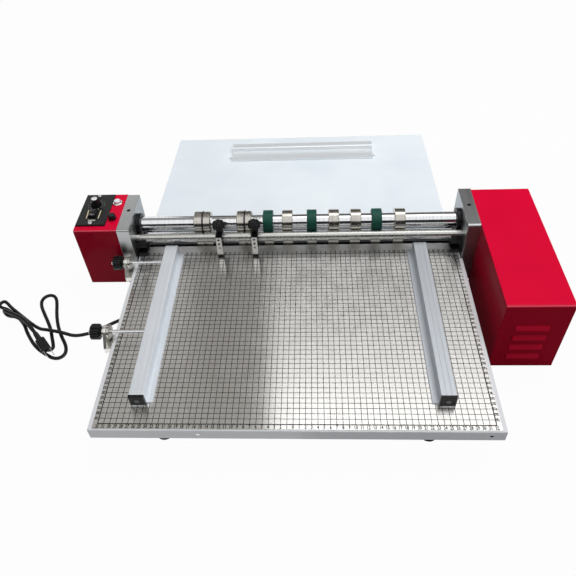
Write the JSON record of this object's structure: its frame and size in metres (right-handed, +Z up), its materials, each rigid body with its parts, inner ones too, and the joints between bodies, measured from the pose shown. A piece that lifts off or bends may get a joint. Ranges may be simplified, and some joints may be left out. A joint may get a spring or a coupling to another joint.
{
  "type": "paper creasing machine",
  "caption": "Desktop motor-driven paper creasing machine: printed feed table with side guides, ringed rollers between side plates, hold-down fingers, rear tray and mains lead.",
  "frame": {"origin": "on the standing surface, under the middle of the machine without its mains lead", "axes": "+X to the right along the rollers as the operator sees them, +Y from the operator towards the rear tray, +Z up"},
  "size_m": [1.1196, 0.8918, 0.1875],
  "materials": {
    "red_paint": "satin",
    "table_paint": "satin",
    "tray_paint": "satin",
    "scale_steel": "polished",
    "plate_metal": "satin",
    "guide_metal": "anodised",
    "bracket_metal": "satin",
    "black_paint": "satin",
    "chrome": "polished",
    "ring_steel": "polished",
    "rim_steel": "blackened",
    "steel": "plain",
    "wheel_green": "matt",
    "black_rubber": "matt",
    "black_plastic": "matt",
    "gloss_black": "gloss",
    "panel_black": "matt",
    "board_green": "lacquered",
    "motor_grey": "satin"
  },
  "bodies": {
    "frame": {"table_top": "table_paint", "scale_sheet": "scale_steel", "table_ribs": "steel", "rubber_feet": "black_rubber", "left_side_plate": "plate_metal", "right_side_plate": "plate_metal", "cross_beams": "black_paint", "bearing_housings": "black_paint", "shaft_bearings": "steel", "pressure_screws": "steel", "gearbox_plate": "steel", "gearbox": "bracket_metal", "motor": "motor_grey", "cross_rod": "chrome", "rod_blocks": "black_paint", "right_guide": "guide_metal", "right_guide_caps": "black_plastic", "rod_brackets": "bracket_metal", "rod_collars": "ring_steel", "left_cover": "red_paint", "right_cover": "red_paint", "control_panel": "panel_black", "button_bezel": "chrome", "controller_board": "board_green", "rear_tray": "tray_paint", "tray_legs": "black_paint", "small_screws": "chrome", "corner_blocks": "black_paint", "power_cord": "black_rubber", "cord_gland": "black_plastic", "plug": "black_plastic", "plug_pins": "chrome"},
    "upper_roller": {"upper_shaft": "chrome", "creasing_rings": "ring_steel", "creasing_rims": "rim_steel", "feed_wheels": "wheel_green", "plain_rings": "ring_steel", "upper_gear": "steel"},
    "lower_roller": {"lower_shaft": "chrome", "lower_rings": "ring_steel", "lower_gear": "steel"},
    "drive_pinion": {"drive_pinion": "steel"},
    "left_finger": {"left_finger_clamp": "black_paint", "left_finger_strip": "bracket_metal", "left_finger_pad": "black_rubber"},
    "left_finger_knob": {"left_finger_knob": "black_plastic"},
    "right_finger": {"right_finger_clamp": "black_paint", "right_finger_strip": "bracket_metal", "right_finger_pad": "black_rubber"},
    "right_finger_knob": {"right_finger_knob": "black_plastic"},
    "left_guide": {"left_guide": "guide_metal", "left_guide_caps": "black_plastic", "guide_rods": "chrome"},
    "front_guide_knob": {"front_guide_knob": "black_plastic"},
    "rear_guide_knob": {"rear_guide_knob": "black_plastic"},
    "stop_bar": {"stop_bar": "guide_metal"},
    "speed_knob": {"speed_knob": "gloss_black"},
    "rocker": {"rocker": "gloss_black"},
    "push_button": {"push_button": "chrome"},
    "fuse_cap": {"fuse_cap": "gloss_black"}
  },
  "joints": [
    {"name": "upper_shaft_spin", "type": "hinge", "parent": "frame", "child": "upper_roller", "pos_m": [0, 0.01565, 0.1316], "axis": [1, 0, 0], "continuous": true},
    {"name": "lower_shaft_spin", "type": "hinge", "parent": "frame", "child": "lower_roller", "pos_m": [0, 0.01565, 0.0896], "axis": [1, 0, 0], "continuous": true},
    {"name": "pinion_spin", "type": "hinge", "parent": "frame", "child": "drive_pinion", "pos_m": [0.3545, -0.01435, 0.0896], "axis": [1, 0, 0], "continuous": true},
    {"name": "left_guide_slide", "type": "slide", "parent": "frame", "child": "left_guide", "axis": [1, 0, 0], "range_m": [-0.038, 0.012]},
    {"name": "front_guide_knob_turn", "type": "hinge", "parent": "frame", "child": "front_guide_knob", "pos_m": [-0.3785, -0.25035, 0.0985], "axis": [-1, 0, 0], "range_deg": [-180, 180]},
    {"name": "rear_guide_knob_turn", "type": "hinge", "parent": "frame", "child": "rear_guide_knob", "pos_m": [-0.3785, -0.06835, 0.0985], "axis": [-1, 0, 0], "range_deg": [-180, 180]},
    {"name": "left_finger_slide", "type": "slide", "parent": "frame", "child": "left_finger", "axis": [1, 0, 0], "range_m": [-0.055, 0.025]},
    {"name": "left_finger_knob_turn", "type": "hinge", "parent": "left_finger", "child": "left_finger_knob", "pos_m": [-0.1705, -0.01735, 0.154], "axis": [0, 0, 1], "range_deg": [-180, 180]},
    {"name": "right_finger_slide", "type": "slide", "parent": "frame", "child": "right_finger", "axis": [1, 0, 0], "range_m": [-0.02, 0.28]},
    {"name": "right_finger_knob_turn", "type": "hinge", "parent": "right_finger", "child": "right_finger_knob", "pos_m": [-0.098, -0.01735, 0.154], "axis": [0, 0, 1], "range_deg": [-180, 180]},
    {"name": "stop_bar_slide", "type": "slide", "parent": "frame", "child": "stop_bar", "axis": [0, 0.9982, -0.0593], "range_m": [-0.25, 0.035]},
    {"name": "speed_knob_turn", "type": "hinge", "parent": "frame", "child": "speed_knob", "pos_m": [-0.4307, 0.03215, 0.174], "axis": [0, 0, 1], "range_deg": [-150, 150]},
    {"name": "rocker_tilt", "type": "hinge", "parent": "frame", "child": "rocker", "pos_m": [-0.43, 0.00265, 0.1655], "axis": [1, 0, 0], "range_deg": [0, 16]},
    {"name": "push_button_press", "type": "slide", "parent": "frame", "child": "push_button", "axis": [0, 0, -1], "range_m": [0, 0.003], "stiffness_N_per_m": 300, "springref_m": -0.002},
    {"name": "fuse_cap_turn", "type": "hinge", "parent": "frame", "child": "fuse_cap", "pos_m": [-0.3865, -0.01035, 0.174], "axis": [0, 0, 1], "range_deg": [0, 90]}
  ],
  "couplings": [
    {"joint": "lower_shaft_spin", "follows": "upper_shaft_spin", "ratio": -1.3333},
    {"joint": "pinion_spin", "follows": "upper_shaft_spin", "ratio": 2}
  ]
}
